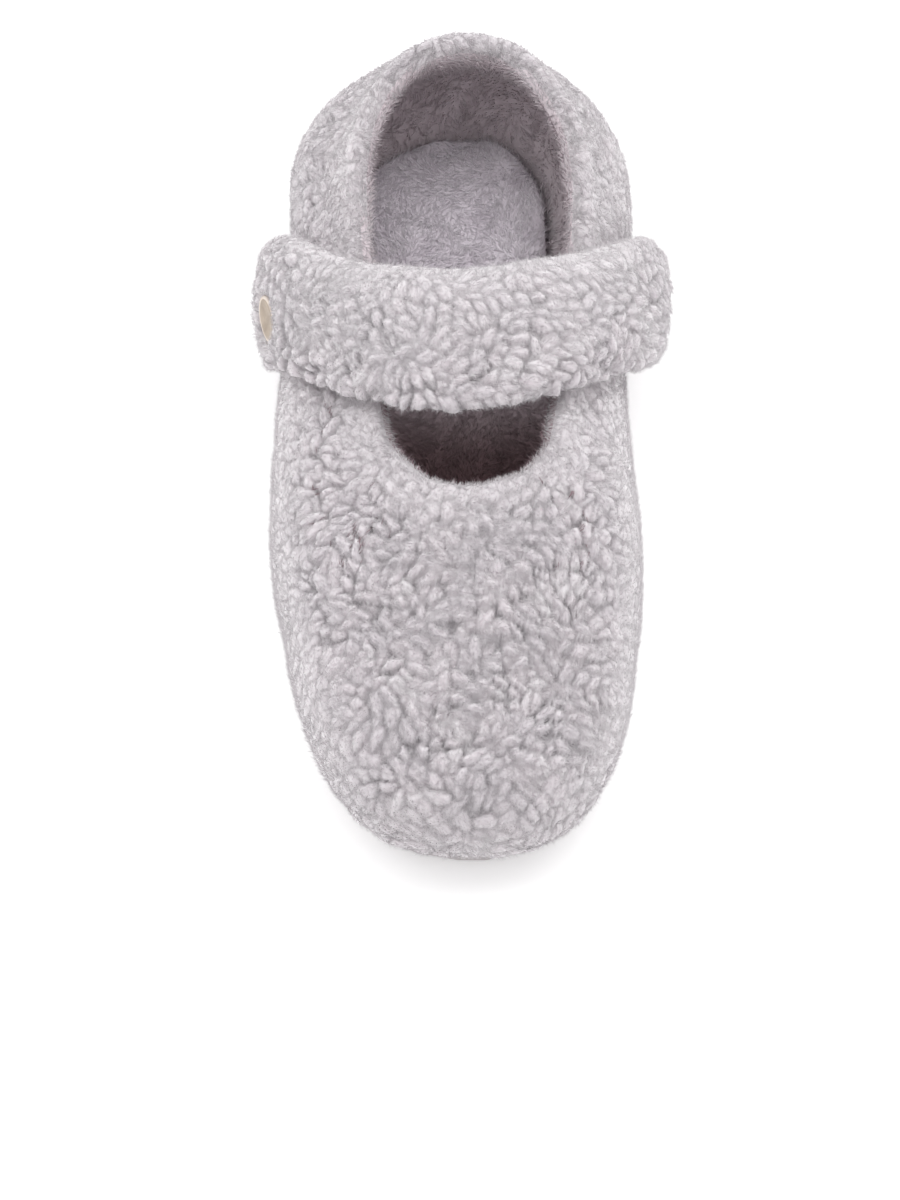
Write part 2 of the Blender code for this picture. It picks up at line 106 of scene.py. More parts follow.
# Relief over the locks, fine and in clumps, and the swirls that the pile lies in
GRAIN_SIZE = 1.1 * MM
GRAIN_HEIGHT = 0.35 * MM
CLUMP_SIZE = 9 * MM
CLUMP_HEIGHT = 0.8 * MM
SWIRL_SIZE = 18 * MM

# Naps of loose fibre: a wisp's width and length, the number to a square mm, their lean and their look
Nap = namedtuple("Nap", "width length per_square_mm lean look")
NAPS = {
    "fuzz": Nap(0.19 * MM, 1.9 * MM, 2.1, 1.0, "fibre"),
    "fringe": Nap(0.24 * MM, 2.2 * MM, 2.0, 1.05, "fibre"),
    "lining": Nap(0.32 * MM, 3.0 * MM, 1.1, 0.9, "lining"),
    "footbed": Nap(0.2 * MM, 2.8 * MM, 3.0, 1.1, "footbed"),
}
WISP_ROOT = 0.3 * MM
WISP_TILT = (0.45, 0.35, 0.6)
WISP_SIZES = (0.7, 1.3)

# Seeds of what is spread by chance: the noise of the pile, and one for each piece
NOISE_SEED = 5
SEEDS = {
    "upper_wall": 3,
    "toe_fuzz": 0,
    "vamp_fuzz": 20,
    "outer_quarter_fuzz": 40,
    "inner_quarter_fuzz": 60,
    "brushed_edge": 91,
    "lining_nap": 101,
    "strap_body": 121,
    "strap_fuzz": 131,
    "insole_nap": 141,
}

# The line inside the shoe that the wall's two faces look away from and towards
SPINE_TOE = Vector((1, -70, 30)) * MM
SPINE_HEEL = Vector((1, 95, 34)) * MM

# The line along the middle of the opening, which the brushed fibres of its edge point to, with a lift
OPENING_FRONT = Vector((2, -8, 62)) * MM
OPENING_BACK = Vector((1, 85, 62)) * MM
FRINGE_LIFT = np.array((0, 0, 0.8))

# The upper's rolled edge: how low it and its roll reach, and the width beside it that keeps the solid's form
RIM_LOWEST = 45 * MM
ROLL_LOWEST = 40 * MM
RIM_KEPT = 3 * MM

# The front of the throat, which is drawn towards the toe: how far, and the bands that the draw fades over
THROAT_DRAW = 3 * MM
THROAT_MIDDLE = 2 * MM
THROAT_BACK = 5 * MM
DRAW_FROM_RIM = (3 * MM, 14 * MM)
DRAW_FROM_MIDDLE = (12 * MM, 28 * MM)

# Where the upper's skin counts as its top, its toe end and its underside, by the way that it looks
TOP_FACING = (0.5, 0.97)
TOE_FACING = (0.2, 0.7)
UNDERSIDE = -0.9
SHOWN_FACING = -0.85

# Relief of the upper's pile, as a share of the full one: on its sides, at its edge and under the strap
SIDE_RELIEF = 0.2
EDGE_RELIEF = 0.25
COVERED_RELIEF = 0.1
SIDE_DEPTH = 0.4
SIDE_FLATTENING = 0.45

# How much of the wall's and the strap's thickness the roots may take, and how near the strap hides the upper
WALL_SHARE = 0.5
STRAP_SHARE = 0.4
STRAP_REACH = 4 * MM

# Where the upper's pile is brushed out and paler: round the opening and on the sides, and less towards the
# heel; on the sides the paler colour is painted light
COLLAR_COMBED = 0.6
COLLAR_BAND = (6 * MM, 21 * MM)
SIDE_COMBED_AND_PAINTED_LIGHT = 0.8
TOE_CURL = 0.6
REAR_CURL = 0.6
REAR_BAND = (20 * MM, 60 * MM)
FRINGE_BAND = (2 * MM, 7 * MM)
FRINGE_FACING = -0.7

# Places where the upper's coats end
TOE_BACK = -72 * MM
VAMP_BACK = -8 * MM
QUARTER_MIDDLE = 1 * MM
LINING_FRONT = -55 * MM

# The strap: its underside, its back edge and its ends, and how its pile lies there; the paler pile on its
# back edge and ends is partly brushed and partly painted light
STRAP_UNDERSIDE = -0.75
STRAP_BACK_FACING = (-0.3, 0.4)
STRAP_ENDS = (46 * MM, 58 * MM)
STRAP_END_DEPTH = 0.3 * MM
STRAP_RELIEF = 0.9
STRAP_BACK_FLATTENING = 0.8
STRAP_COMBED_AND_PAINTED_LIGHT = (0.12, 0.6)
STRAP_END_COMBED_AND_PAINTED_LIGHT = 0.7

# The button on the strap's outer end
BUTTON_RADIUS = 6.5 * MM
BUTTON_FACING = Vector((-0.935, -0.306, 0.17)).normalized()
BUTTON_PROUD = 0.6 * MM
CAP_DEPTH = 2.4 * MM
CAP_HEIGHT = 1.85 * MM
CAP_STEPS_MM = ((0.5, 0.45), (0.9, 0.2), (1.0, -0.35), (1.4, -0.3), (1.2, -0.05))
PIPING_RADIUS = 0.65 * MM
PIPING_INSET = 0.1 * MM
PIPING_LEVEL = 1.1 * MM

# The button's pocket: the solid's floor is drawn in, and a dish with a lip is pressed round the cap
POCKET_RADIUS = 8.0 * MM
POCKET_FLOOR = -1.8 * MM
POCKET_GAP = 0.3 * MM
POCKET_DRAW = 0.55
POCKET_NEAR = 20 * MM
DISH_DEPTH = 2 * MM
DISH_SMOOTHING = 10
LIP_HEIGHT = 2.3 * MM
LIP_SIDE = Vector((-0.28, 0.41, -0.815))
LIP_BAND = (-0.2, 0.7)

# The footbed: the line it spreads from, its gap to the lining, its shortfall on the inner side, and its nap
FOOTBED_BALL = Vector((-3, -70, 18)) * MM
FOOTBED_HEEL = Vector((-4, 78, 18)) * MM
FOOTBED_GAP = 0.8 * MM
INNER_SHORTFALL = 0.5
INNER_FACING = (0.3, 0.8)
FOOTBED_REACH = 40 * MM
FOOTBED_TOP = 0.2
FOOTBED_FRONT = -60 * MM

# The plush has painted shade under the forefoot, where the upper and the strap shade it: full from the toe to
# the first of these places, and none from the second one
PAINTED_SHADE_BAND = (-5 * MM, 45 * MM)

# Creases: each runs through its points, in mm, as a soft trough with a half width and a depth
CREASES = (
    (((-44, -22, 40), (-30, -38, 58), (-12, -46, 62)), 7.0, 1.6),
    (((42, -20, 40), (30, -36, 56), (14, -46, 62)), 7.0, 1.4),
    (((-49, -62, 26), (-36, -74, 44), (-18, -80, 52)), 6.0, 1.2),
    (((44, -70, 26), (32, -84, 40), (16, -90, 46)), 6.0, 1.0),
    (((-50, 30, 30), (-48, 60, 40), (-40, 84, 48)), 7.0, 1.2),
    (((46, 30, 30), (44, 60, 40), (36, 84, 48)), 7.0, 1.2),
)


# Colour and nodes

def linear(hex_colour, alpha=1.0):
    """A linear colour from an sRGB hex value."""
    channels = [int(hex_colour[i : i + 2], 16) / 255 for i in (1, 3, 5)]
    return (*[c / 12.92 if c <= 0.04045 else ((c + 0.055) / 1.055) ** 2.4 for c in channels], alpha)


def node(tree, kind, inputs=(), **settings):
    """Adds a node, with its settings and its inputs: a socket is linked, and anything else is the value."""
    made = tree.nodes.new(kind)
    for name, value in settings.items():
        setattr(made, name, value)
    for key, value in dict(inputs).items():
        if isinstance(value, bpy.types.NodeSocket):
            tree.links.new(value, made.inputs[key])
        else:
            made.inputs[key].default_value = value
    return made


def new_material(name, roughness, specular, sheen=0.0):
    material = bpy.data.materials.new(name)
    material.use_nodes = True
    shader = material.node_tree.nodes["Principled BSDF"]
    shader.inputs["Roughness"].default_value = roughness
    shader.inputs["Specular IOR Level"].default_value = specular
    shader.inputs["Sheen Weight"].default_value = sheen
    shader.inputs["Sheen Roughness"].default_value = 0.6
    return material, material.node_tree, shader


def set_ramp(ramp, stops):
    """Gives a colour ramp its stops, as (place, hex colour) pairs."""
    elements = ramp.color_ramp.elements
    while len(elements) < len(stops):
        elements.new(1.0)
    for element, (place, colour) in zip(elements, stops):
        element.position = place
        element.color = linear(colour)


# Materials
# A Map Range node's inputs 0 to 4 are its value, the range that this lies in and the range that it gets.

def curly_fleece(name, soft):
    """Polyester sherpa: matt locks of fine fibre, each a different lilac grey, with streaks along it.

    Light passes from fibre to fibre, as far as soft says, so that the hollows between locks stay pale.
    """
    material, tree, shader = new_material(name, roughness=0.95, specular=0.15, sheen=0.4)
    shader.inputs["Subsurface Weight"].default_value = soft
    shader.inputs["Subsurface Radius"].default_value = (1.0, 0.96, 0.98)
    shader.inputs["Subsurface Scale"].default_value = 2.4 * MM

    # Each lock's own shade, and broad patches of the dye, choose its colour.
    own_share = 0.35
    shade = node(tree, "ShaderNodeAttribute", attribute_name="lock_shade")
    where = node(tree, "ShaderNodeTexCoord").outputs["Object"]
    patch = node(tree, "ShaderNodeTexNoise", {"Vector": where, "Scale": 1 / (14 * MM), "Detail": 2})
    dye = node(
        tree, "ShaderNodeMapRange", {0: patch.outputs["Fac"], 1: 0.3, 2: 0.7, 3: 0.0, 4: 1 - own_share}
    )
    tone = node(
        tree, "ShaderNodeMath", {0: shade.outputs["Fac"], 1: own_share, 2: dye.outputs[0]},
        operation="MULTIPLY_ADD",
    )
    tint = node(tree, "ShaderNodeValToRGB", {"Fac": tone.outputs[0]})
    set_ramp(tint, ((0.1, "#ccc6ca"), (0.4, "#d1cbcf"), (0.65, "#d5ced2"), (0.9, "#dad5d8")))

    # Fibre bundles are drawn coarser than real fibres, so that the streaks show.
    bundle = 0.7 * MM
    along_lock = 0.16
    place = node(tree, "ShaderNodeAttribute", attribute_name="fibre_place")
    apart = node(tree, "ShaderNodeVectorMath", {0: place.outputs["Vector"], 1: shade.outputs["Vector"]})
    stretch = node(tree, "ShaderNodeMapping", {"Vector": apart.outputs[0], "Scale": (along_lock, 1, 1)})
    streak = node(
        tree, "ShaderNodeTexNoise", {"Vector": stretch.outputs[0], "Scale": 1 / bundle, "Detail": 3}
    )
    lit = node(tree, "ShaderNodeMapRange", {0: streak.outputs["Fac"], 1: 0.3, 2: 0.7, 3: 0.9, 4: 1.04})

    # Painted shade: the colour darkens down towards the roots of the locks and in the partings, where shade
    # falls between them.
    depth = node(tree, "ShaderNodeAttribute", attribute_name="height_for_painted_shade")
    root = node(tree, "ShaderNodeMapRange", {0: depth.outputs["Fac"], 2: 0.6, 3: 0.83, 4: 1.0})
    both = node(tree, "ShaderNodeMath", {0: lit.outputs[0], 1: root.outputs[0]}, operation="MULTIPLY")
    curly = node(
        tree, "ShaderNodeVectorMath", {0: tint.outputs["Color"], 3: both.outputs[0]}, operation="SCALE"
    )

    # Where the pile is brushed out, it is paler and plainer. On the sides and on the strap's top, back edge
    # and ends, this paler colour is also painted light.
    combed_and_painted_light = node(tree, "ShaderNodeAttribute", attribute_name="combed_and_painted_light")
    colour = node(
        tree, "ShaderNodeMix", {0: combed_and_painted_light.outputs["Fac"], 6: curly.outputs[0], 7: linear("#e0dbde")},
        data_type="RGBA",
    )
    bump = node(tree, "ShaderNodeBump", {"Height": streak.outputs["Fac"], "Distance": 0.3 * MM})
    tree.links.new(colour.outputs[2], shader.inputs["Base Color"])
    tree.links.new(bump.outputs[0], shader.inputs["Normal"])
    return material


def plush(name, dark, light, painted_shade=None):
    """Short brushed plush: soft patches of nap that lie different ways, and fibres of different greys.

    The optional third colour is painted shade: a darker colour under the forefoot, where the upper and the
    strap shade the plush.
    """
    material, tree, shader = new_material(name, roughness=0.95, specular=0.15, sheen=0.2)
    where = node(tree, "ShaderNodeTexCoord").outputs["Object"]
    nap = node(tree, "ShaderNodeTexNoise", {"Vector": where, "Scale": 1 / (6 * MM), "Detail": 4})
    shade = node(tree, "ShaderNodeAttribute", attribute_name="lock_shade")
    both = node(tree, "ShaderNodeMath", {0: nap.outputs["Fac"], 1: shade.outputs["Fac"]}, operation="ADD")
    half = node(tree, "ShaderNodeMath", {0: both.outputs[0], 1: 0.5}, operation="MULTIPLY")
    tint = node(tree, "ShaderNodeValToRGB", {"Fac": half.outputs[0]})
    set_ramp(tint, ((0.2, dark), (0.75, light)))
    colour = tint.outputs["Color"]
    # Painted shade: the colour darkens towards the toe, where the upper and the strap shade the plush
    if painted_shade:
        along = node(tree, "ShaderNodeSeparateXYZ", {0: where}).outputs["Y"]
        heel = node(
            tree, "ShaderNodeMapRange", {0: along, 1: PAINTED_SHADE_BAND[0], 2: PAINTED_SHADE_BAND[1]},
            interpolation_type="SMOOTHSTEP",
        )
        flat = node(
            tree, "ShaderNodeMix", {0: heel.outputs[0], 6: linear(painted_shade), 7: colour}, data_type="RGBA"
        )
        colour = flat.outputs[2]
    tree.links.new(colour, shader.inputs["Base Color"])
    return material


def suede(name, dark, light):
    """Brushed suede: matt, with a cloudy nap and a fine grain."""
    material, tree, shader = new_material(name, roughness=0.9, specular=0.2, sheen=0.3)
    where = node(tree, "ShaderNodeTexCoord").outputs["Object"]
    cloud = node(tree, "ShaderNodeTexNoise", {"Vector": where, "Scale": 1 / (2.5 * MM), "Detail": 5})
    grain = node(tree, "ShaderNodeTexNoise", {"Vector": where, "Scale": 1 / (0.3 * MM)})
    tint = node(tree, "ShaderNodeValToRGB", {"Fac": cloud.outputs["Fac"]})
    set_ramp(tint, ((0.3, dark), (0.7, light)))
    bump = node(tree, "ShaderNodeBump", {"Height": grain.outputs["Fac"], "Distance": 0.15 * MM})
    tree.links.new(tint.outputs["Color"], shader.inputs["Base Color"])
    tree.links.new(bump.outputs[0], shader.inputs["Normal"])
    return material


def moulded_rubber():
    """Thermoplastic rubber from a spark-eroded mould: matt grey, with a fine even grain and a few scuffs."""
    material, tree, shader = new_material("moulded_thermoplastic_rubber", roughness=0.62, specular=0.4)
    where = node(tree, "ShaderNodeTexCoord").outputs["Object"]
    grain = node(tree, "ShaderNodeTexNoise", {"Vector": where, "Scale": 1 / (0.5 * MM), "Detail": 2})
    scuff = node(tree, "ShaderNodeTexNoise", {"Vector": where, "Scale": 1 / (18 * MM), "Detail": 6})
    tint = node(tree, "ShaderNodeValToRGB", {"Fac": scuff.outputs["Fac"]})
    set_ramp(tint, ((0.35, "#a19a9c"), (0.65, "#b3adae")))
    gloss = node(tree, "ShaderNodeMapRange", {0: scuff.outputs["Fac"], 1: 0.3, 2: 0.7, 3: 0.55, 4: 0.72})
    bump = node(tree, "ShaderNodeBump", {"Height": grain.outputs["Fac"], "Distance": 0.12 * MM})
    tree.links.new(tint.outputs["Color"], shader.inputs["Base Color"])
    tree.links.new(gloss.outputs[0], shader.inputs["Roughness"])
    tree.links.new(bump.outputs[0], shader.inputs["Normal"])
    return material


# Selecting and shaping

def only_active(piece):
    bpy.ops.object.select_all(action="DESELECT")
    piece.select_set(True)
    bpy.context.view_layer.objects.active = piece


def link(piece):
    bpy.context.scene.collection.objects.link(piece)
    return piece


def copy_of(node_name, piece_name):
    """A merged copy of a frame node's mesh, as a new piece."""
    piece = link(bpy.data.objects.new(piece_name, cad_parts[node_name].data.copy()))
    piece.data.materials.clear()
    only_active(piece)
    bpy.ops.object.mode_set(mode="EDIT")
    bpy.ops.mesh.select_all(action="SELECT")
    bpy.ops.mesh.remove_doubles(threshold=MERGE_GAP)
    bpy.ops.object.mode_set(mode="OBJECT")
    return piece


def duplicate(piece, name):
    return link(bpy.data.objects.new(name, piece.data.copy()))


def points_of(mesh):
    flat = np.empty(len(mesh.vertices) * 3, np.float32)
    mesh.vertices.foreach_get("co", flat)
    return flat.reshape(-1, 3).astype(float)


def normals_of(mesh):
    flat = np.empty(len(mesh.vertices) * 3, np.float32)
    mesh.vertex_normals.foreach_get("vector", flat)
    return flat.reshape(-1, 3).astype(float)


def even_normals(mesh):
    """The points' normals, evened out over their neighbours, so that a move along them folds nothing."""
    ends = np.empty(len(mesh.edges) * 2, np.int32)
    mesh.edges.foreach_get("vertices", ends)
    ends = ends.reshape(-1, 2)
    here, there = np.vstack([ends, ends[:, ::-1]]).T
    normals = normals_of(mesh)
    for _ in range(EVEN_ROUNDS):
        near = [np.bincount(here, normals[there, axis], len(normals)) for axis in range(3)]
        normals = unit(normals + np.column_stack(near))
    return normals


def move_points(mesh, points):
    mesh.vertices.foreach_set("co", points.astype(np.float32).ravel())
    mesh.update()


def tree_of(mesh):
    return BVHTree.FromPolygons([v.co for v in mesh.vertices], [p.vertices for p in mesh.polygons])


def faces_of(mesh):
    """The middles and the normals of a mesh's faces."""
    middles, normals = np.empty((2, len(mesh.polygons) * 3), np.float32)
    mesh.polygons.foreach_get("center", middles)
    mesh.polygons.foreach_get("normal", normals)
    return middles.reshape(-1, 3).astype(float), normals.reshape(-1, 3).astype(float)


def unit(vectors):
    return vectors / np.linalg.norm(vectors, axis=1, keepdims=True)


def from_line(points, start, end):
    """The vectors to each point from the nearest place on a line."""
    start, along = np.array(start), np.array(end - start)
    share = np.clip((points - start) @ along / (along @ along), 0, 1)
    return points - start - share[:, None] * along


def to_opening(points):
    """Level unit vectors from each point towards the line along the opening's middle, with a lift."""
    run = -from_line(points, OPENING_FRONT, OPENING_BACK)
    run[:, 2] = 0
    return unit(run) + FRINGE_LIFT


def outwardness(mesh):
    """How far each face looks away from the inside of the shoe, from -1 to 1."""
    middles, normals = faces_of(mesh)
    return np.sum(normals * unit(from_line(middles, SPINE_TOE, SPINE_HEEL)), axis=1)


def points_in(mesh, wanted):
    """Marks the points of the faces that wanted marks."""
    marked = np.zeros(len(mesh.vertices), bool)
    for face in np.flatnonzero(wanted):
        marked[list(mesh.polygons[face].vertices)] = True
    return marked


def edit_marked(piece, kind, wanted):
    """Opens a piece for editing, with only the points or faces that wanted marks selected."""
    only_active(piece)
    bpy.ops.object.mode_set(mode="EDIT")
    bpy.ops.mesh.select_mode(type=kind)
    bpy.ops.mesh.select_all(action="DESELECT")
    bpy.ops.object.mode_set(mode="OBJECT")
    marked = piece.data.vertices if kind == "VERT" else piece.data.polygons
    marked.foreach_set("select", np.asarray(wanted, bool))
    bpy.ops.object.mode_set(mode="EDIT")


def soften(piece, wanted):
    """Smooths the relief out of the points that wanted marks, and keeps the form's full size."""
    edit_marked(piece, "VERT", wanted)
    for _ in range(SOFTEN_ROUNDS):
        bpy.ops.mesh.vertices_smooth(factor=0.5)
        bpy.ops.mesh.vertices_smooth(factor=-0.52)
    bpy.ops.object.mode_set(mode="OBJECT")


def keep_faces(piece, wanted):
    """Deletes the faces that wanted doesn't mark."""
    edit_marked(piece, "FACE", ~wanted)
    bpy.ops.mesh.delete(type="FACE")
    bpy.ops.object.mode_set(mode="OBJECT")


def cut_fine(piece, wanted):
    """Cuts the faces that wanted marks into small ones, with the mesh left closed."""
    edit_marked(piece, "FACE", wanted)
    bpy.ops.mesh.subdivide(number_cuts=FINE_CUTS)
    bpy.ops.object.mode_set(mode="OBJECT")


def join(piece, others):
    only_active(piece)
    for other in others:
        other.select_set(True)
    bpy.ops.object.join()


def apply_modifier(piece, kind, **settings):
    only_active(piece)
    modifier = piece.modifiers.new(kind.lower(), kind)
    for name, value in settings.items():
        setattr(modifier, name, value)
    bpy.ops.object.modifier_apply(modifier=modifier.name)


def point_values(mesh, name):
    values = np.empty(len(mesh.vertices), np.float32)
    mesh.attributes[name].data.foreach_get("value", values)
    return values.astype(float)


def set_point_values(mesh, name, values):
    attribute = mesh.attributes.get(name) or mesh.attributes.new(name, "FLOAT", "POINT")
    attribute.data.foreach_set("value", np.asarray(values, np.float32))


def set_point_vectors(mesh, name, vectors):
    attribute = mesh.attributes.new(name, "FLOAT_VECTOR", "POINT")
    attribute.data.foreach_set("vector", np.asarray(vectors, np.float32).ravel())


def smooth_step(values, low, high):
    share = np.clip((values - low) / (high - low), 0, 1)
    return share * share * (3 - 2 * share)


def noise_at(points, size):
    return np.array([noise.noise(Vector(point) / size) for point in points])


def noise_vectors_at(points, size):
    return np.array([noise.noise_vector(Vector(point) / size) for point in points])


def wall_room(mesh, points, normals):
    """How thick the solid is behind each point."""
    tree = tree_of(mesh)
    far = 30 * MM
    skin = 0.3 * MM
    room = []
    for point, normal in zip(points, normals):
        hit = tree.ray_cast(Vector(point - normal * skin), Vector(-normal), far)
        room.append(far if hit[0] is None else hit[3])
    return np.array(room)


def crease_depth(points):
    """How far the listed creases push each point in."""
    depth = np.zeros(len(points))
    for path, half_width, deep in CREASES:
        path = [Vector(place) * MM for place in path]
        runs = [from_line(points, start, end) for start, end in zip(path[:-1], path[1:])]
        nearest = np.min([np.linalg.norm(run, axis=1) for run in runs], axis=0)
        depth += deep * MM * np.exp(-((nearest / (half_width * MM)) ** 2))
    return depth


def ride(piece, slot, *replaced):
    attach(piece, "root")
    for name in replaced:
        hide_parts(name)


# Locks of fleece: soft mounds raised out of a fine skin, each longer than wide and higher at its tip

def new_nodes(name):
    """An empty geometry tree, with its input."""
    tree = bpy.data.node_groups.new(name, "GeometryNodeTree")
    tree.interface.new_socket("Geometry", in_out="INPUT", socket_type="NodeSocketGeometry")
    tree.interface.new_socket("Geometry", in_out="OUTPUT", socket_type="NodeSocketGeometry")
    return tree, node(tree, "NodeGroupInput").outputs[0]


def tree_of_places(places):
    tree = KDTree(len(places))
    for index, place in enumerate(places):
        tree.insert(place, index)
    tree.balance()
    return tree


def spread_places(skin, spacing):
    """Evenly spread points on a skin, with the way each one faces."""
    tree, base = new_nodes(f"locks_{skin.name}")
    tried = 4 / spacing**2
    points = node(
        tree, "GeometryNodeDistributePointsOnFaces",
        {"Mesh": base, "Distance Min": spacing, "Density Max": tried, "Seed": SEEDS[skin.name]},
        distribute_method="POISSON",
    )
    kept = node(
        tree, "GeometryNodeStoreNamedAttribute",
        {"Geometry": points.outputs["Points"], "Name": "facing", "Value": points.outputs["Normal"]},
        data_type="FLOAT_VECTOR", domain="POINT",
    )
    corners = node(tree, "GeometryNodePointsToVertices", {"Points": kept.outputs[0]})
    node(tree, "NodeGroupOutput", {0: corners.outputs[0]})
    spread = duplicate(skin, "lock_places")
    apply_modifier(spread, "NODES", node_group=tree)
    places = points_of(spread.data)
    facing = np.empty(len(places) * 3, np.float32)
    spread.data.attributes["facing"].data.foreach_get("vector", facing)
    bpy.data.objects.remove(spread)
    return places, facing.reshape(-1, 3).astype(float)


def lock_places(skin, size):
    """Places for locks on a skin, closer side by side than end to end, and the ways along and across each."""
    step_along, step_aside = size * LOCK_STEP[0], size * LOCK_STEP[1]
    places, facing = spread_places(skin, step_aside / 2)
    swirl = noise_vectors_at(places, SWIRL_SIZE)
    lay = unit(swirl - facing * np.sum(swirl * facing, axis=1, keepdims=True))
    across = np.cross(facing, lay)
    tree = tree_of_places(places)
    kept = np.zeros(len(places), bool)
    for index, place in enumerate(places):
        near = [hit[1] for hit in tree.find_range(place, step_along) if kept[hit[1]]]
        gap = places[near] - place
        apart = (gap @ lay[index] / step_along) ** 2 + (gap @ across[index] / step_aside) ** 2
        kept[index] = np.all(apart > 1)
    return places[kept], lay[kept], across[kept]


def raise_locks(skin, size):
    """Raises the locks out of a skin where its raised attribute says, and notes each point's lock.

    Gives the way that the lock at each point lies.
    """
    draw = np.random.default_rng(SEEDS[skin.name])
    places, lay, across = lock_places(skin, size)
    count = len(places)
    half_length = draw.uniform(*LOCK_LENGTH, count) * size / 2
    half_width = draw.uniform(*LOCK_WIDTH, count) * size / 2
    rise = draw.uniform(*LOCK_HEIGHT, count)
    shade = draw.uniform(0, 1, count)

    # Each point's place in the locks near it, and the height that each of them has there
    tree = tree_of_places(places)
    points, normals = points_of(skin.data), even_normals(skin.data)
    near = np.array([[hit[1] for hit in tree.find_n(point, NEAR_LOCKS)] for point in points])
    waved = points + WAVE_HEIGHT * noise_vectors_at(points, WAVE_SIZE)
    gap = waved[:, None] - places[near]
    along = np.sum(gap * lay[near], axis=2) / half_length[near]
    aside = np.sum(gap * across[near], axis=2) / half_width[near]
    inside = 1 - along**2 - (aside * (1 + TIP_NARROWING * along)) ** 2
    mounds = np.clip(inside, 0, None) ** LOCK_BLUNTNESS * rise[near] * (1 + TIP_RISE * along)
    best = mounds.argmax(axis=1)[:, None]
    lock = np.take_along_axis(near, best, axis=1)[:, 0]

    # A parting lies where two locks are equally high. The locks run together elsewhere, by a soft maximum.
    second, first = np.sort(mounds, axis=1)[:, -2:].T
    parting = np.exp(-(((first - second) / PARTING_WIDTH) ** 2))
    parting *= smooth_step(noise_at(points, LOCK_LENGTH[0]), *PARTING_PATCHES)
    mound = LOCK_BLEND * np.log(np.sum(np.exp(mounds / LOCK_BLEND), axis=1)) - PARTING_DEPTH * parting
    mound += GRAIN_HEIGHT * noise_at(points, GRAIN_SIZE) + CLUMP_HEIGHT * noise_at(points, CLUMP_SIZE)
    mound = np.maximum(mound, LOWEST_MOUND)
    move_points(skin.data, points + normals * (mound * point_values(skin.data, "raised"))[:, None])

    # Painted shade: this height share, lowered in the partings, darkens the colour down into the crevices
    # between locks
    depth = np.clip(mound / LOCK_HEIGHT[0], 0, 1) * (1 - PARTING_PAINTED_SHADE * parting)
    fibre_along = np.take_along_axis(along, best, axis=1)[:, 0] * half_length[lock]
    fibre_aside = np.take_along_axis(aside, best, axis=1)[:, 0] * half_width[lock]
    fibre = np.column_stack([fibre_along, fibre_aside, np.zeros(len(points))])
    set_point_values(skin.data, "lock_shade", shade[lock])
    set_point_values(skin.data, "height_for_painted_shade", depth)
    set_point_vectors(skin.data, "fibre_place", fibre)
    return lay[lock]


# Loose fibre

def model_wisp(name, nap, material):
    """A wisp of a few fibres: one thin closed needle, kept out of the scene because it is only scattered."""
    bpy.ops.object.select_all(action="DESELECT")
    bpy.ops.mesh.primitive_cone_add(
        vertices=3, radius1=nap.width / 2, radius2=0, depth=nap.length,
        location=(0, 0, nap.length / 2 - WISP_ROOT),
    )
    wisp = bpy.context.object
    wisp.name = name
    bpy.ops.object.transform_apply(location=True)
    bpy.ops.object.shade_smooth()
    wisp.data.materials.append(material)
    for holder in wisp.users_collection:
        holder.objects.unlink(wisp)
    return wisp


